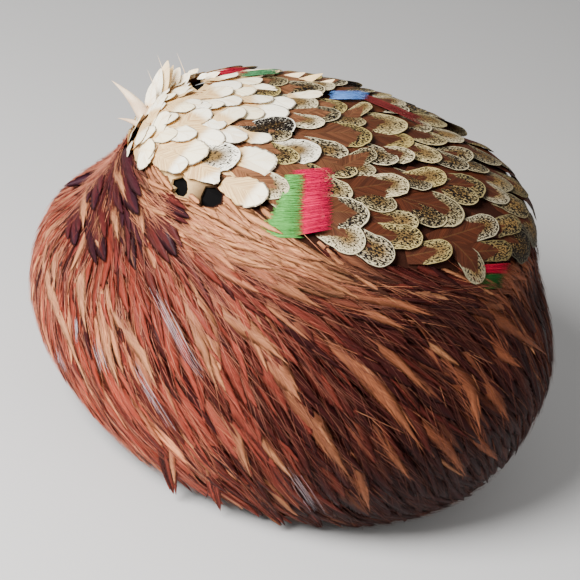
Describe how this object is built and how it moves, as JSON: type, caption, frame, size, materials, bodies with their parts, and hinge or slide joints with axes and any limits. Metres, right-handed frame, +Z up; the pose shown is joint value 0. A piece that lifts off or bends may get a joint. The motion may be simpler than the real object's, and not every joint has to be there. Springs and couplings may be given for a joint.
{
  "type": "feather hat",
  "caption": "Soft-crowned bubble toque covered in feathers: pale and speckled crown plumage fanning from one side, with long dark hackles swept down to an open rim.",
  "frame": {"origin": "centre of the hat's box on the surface that its rim rests on", "axes": "+Z up through the crown, +X along the long way of the hat, away from the pole that the feathers fan from, -Y towards the viewer in the picture"},
  "size_m": [0.2672, 0.2234, 0.1737],
  "materials": {
    "felt_foundation": "matt black wool felt",
    "hackle_plumage": "silky maroon hackles with tan edges",
    "cream_plumage": "soft cream white feathers with tan bases",
    "speckled_plumage": "cream rimmed feathers with black speckling",
    "green_dyed_plumage": "feather barbs dyed green",
    "pink_dyed_plumage": "feather barbs dyed pink red",
    "red_dyed_plumage": "feather barbs dyed crimson",
    "blue_dyed_plumage": "feather barbs dyed blue",
    "bare_quill": "bare ivory coloured quill"
  },
  "bodies": {
    "root": {"foundation": "felt_foundation", "hackle_feathers": "hackle_plumage", "cream_feathers": "cream_plumage", "speckled_feathers": "speckled_plumage", "green_band_front": "green_dyed_plumage", "pink_band_front": "pink_dyed_plumage", "red_band_top": "red_dyed_plumage", "green_band_top": "green_dyed_plumage", "blue_band_top": "blue_dyed_plumage", "crimson_band_top": "red_dyed_plumage", "crimson_band_right": "red_dyed_plumage", "green_band_right": "green_dyed_plumage", "quill_long": "bare_quill", "quill_short": "bare_quill"}
  },
  "joints": []
}
